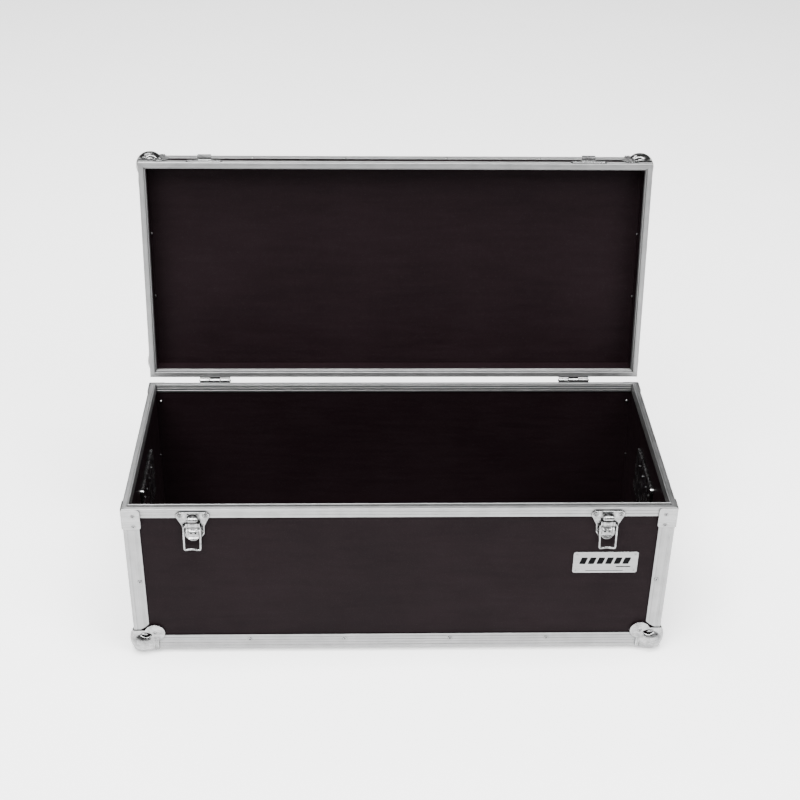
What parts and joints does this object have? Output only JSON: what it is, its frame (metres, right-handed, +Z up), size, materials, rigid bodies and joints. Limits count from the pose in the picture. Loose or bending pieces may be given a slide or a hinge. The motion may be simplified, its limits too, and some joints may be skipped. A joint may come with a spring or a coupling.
{
  "type": "hard equipment case",
  "caption": "Hard equipment case with aluminium edges, ball corners, a hinged lid standing open, front latches and recessed side handles.",
  "frame": {"origin": "centre of the bounding box in plan, at the lowest points of the ball corners, with the lid standing open", "axes": "+X along the long side, to the right seen from the front; +Y to the back, where the lid's hinges are; +Z up"},
  "size_m": [1.02, 0.617, 0.7868],
  "materials": {
    "laminated_plywood": "smooth dark brown-black phenolic laminate on plywood, satin",
    "aluminium_extrusion": "natural aluminium with fine lines along its length, satin",
    "aluminium_sheet": "bent aluminium sheet, satin",
    "zinc_plated_steel": "bright zinc plating, slightly mottled",
    "zinc_wire": "bright zinc plating on round wire",
    "handle_rubber": "matt black moulded rubber over a steel rod",
    "badge_metal": "brushed plate with a dark painted field and no lettering"
  },
  "bodies": {
    "base": {"base_bottom_panel": "laminated_plywood", "base_front_panel": "laminated_plywood", "base_back_panel": "laminated_plywood", "base_left_panel": "laminated_plywood", "base_right_panel": "laminated_plywood", "base_rail_front": "aluminium_extrusion", "base_rail_right": "aluminium_extrusion", "base_rail_back": "aluminium_extrusion", "base_rail_left": "aluminium_extrusion", "base_post_front_left": "aluminium_extrusion", "base_post_front_right": "aluminium_extrusion", "base_post_back_left": "aluminium_extrusion", "base_post_back_right": "aluminium_extrusion", "base_rim_front": "aluminium_extrusion", "base_rim_right": "aluminium_extrusion", "base_rim_back": "aluminium_extrusion", "base_rim_left": "aluminium_extrusion", "base_ball_corner_front_left": "zinc_plated_steel", "base_ball_corner_front_right": "zinc_plated_steel", "base_ball_corner_back_left": "zinc_plated_steel", "base_ball_corner_back_right": "zinc_plated_steel", "base_brace_front_left": "aluminium_sheet", "base_brace_front_right": "aluminium_sheet", "base_brace_back_left": "aluminium_sheet", "base_brace_back_right": "aluminium_sheet", "latch_plate_left": "zinc_plated_steel", "latch_plate_right": "zinc_plated_steel", "hinge_base_leaf_left": "zinc_plated_steel", "hinge_base_leaf_right": "zinc_plated_steel", "handle_dish_left": "zinc_plated_steel", "handle_dish_right": "zinc_plated_steel", "badge_plate": "badge_metal"},
    "lid": {"lid_top_panel": "laminated_plywood", "lid_front_panel": "laminated_plywood", "lid_back_panel": "laminated_plywood", "lid_left_panel": "laminated_plywood", "lid_right_panel": "laminated_plywood", "lid_rail_front": "aluminium_extrusion", "lid_rail_right": "aluminium_extrusion", "lid_rail_back": "aluminium_extrusion", "lid_rail_left": "aluminium_extrusion", "lid_rim_front": "aluminium_extrusion", "lid_rim_right": "aluminium_extrusion", "lid_rim_back": "aluminium_extrusion", "lid_rim_left": "aluminium_extrusion", "lid_ball_corner_front_left": "zinc_plated_steel", "lid_ball_corner_front_right": "zinc_plated_steel", "lid_ball_corner_back_left": "zinc_plated_steel", "lid_ball_corner_back_right": "zinc_plated_steel", "latch_keeper_left": "zinc_plated_steel", "hinge_lid_leaf_left": "zinc_plated_steel", "latch_keeper_right": "zinc_plated_steel", "hinge_lid_leaf_right": "zinc_plated_steel"},
    "left_latch_lever": {"latch_lever_left": "zinc_plated_steel"},
    "left_latch_bail": {"latch_bail_left": "zinc_wire"},
    "left_handle": {"handle_grip_left": "handle_rubber"},
    "right_latch_lever": {"latch_lever_right": "zinc_plated_steel"},
    "right_latch_bail": {"latch_bail_right": "zinc_wire"},
    "right_handle": {"handle_grip_right": "handle_rubber"}
  },
  "joints": [
    {"name": "lid_hinge", "type": "hinge", "parent": "base", "child": "lid", "pos_m": [0, 0.1541, 0.336], "axis": [-1, 0, 0], "range_deg": [-100.2, 0]},
    {"name": "left_latch_lever_pivot", "type": "hinge", "parent": "base", "child": "left_latch_lever", "pos_m": [-0.373, -0.3034, 0.319], "axis": [1, 0, 0], "range_deg": [-150, 0]},
    {"name": "left_latch_bail_pivot", "type": "hinge", "parent": "left_latch_lever", "child": "left_latch_bail", "pos_m": [-0.373, -0.3015, 0.303], "axis": [-1, 0, 0], "range_deg": [0, 175]},
    {"name": "left_handle_pivot", "type": "hinge", "parent": "base", "child": "left_handle", "pos_m": [-0.4915, -0.0739, 0.253], "axis": [0, 1, 0], "range_deg": [0, 90], "stiffness_Nm_per_rad": 0.25, "springref_deg": -14.32},
    {"name": "right_latch_lever_pivot", "type": "hinge", "parent": "base", "child": "right_latch_lever", "pos_m": [0.375, -0.3034, 0.319], "axis": [1, 0, 0], "range_deg": [-150, 0]},
    {"name": "right_latch_bail_pivot", "type": "hinge", "parent": "right_latch_lever", "child": "right_latch_bail", "pos_m": [0.375, -0.3015, 0.303], "axis": [-1, 0, 0], "range_deg": [0, 175]},
    {"name": "right_handle_pivot", "type": "hinge", "parent": "base", "child": "right_handle", "pos_m": [0.4915, -0.0739, 0.253], "axis": [0, -1, 0], "range_deg": [0, 90], "stiffness_Nm_per_rad": 0.25, "springref_deg": -14.32}
  ]
}
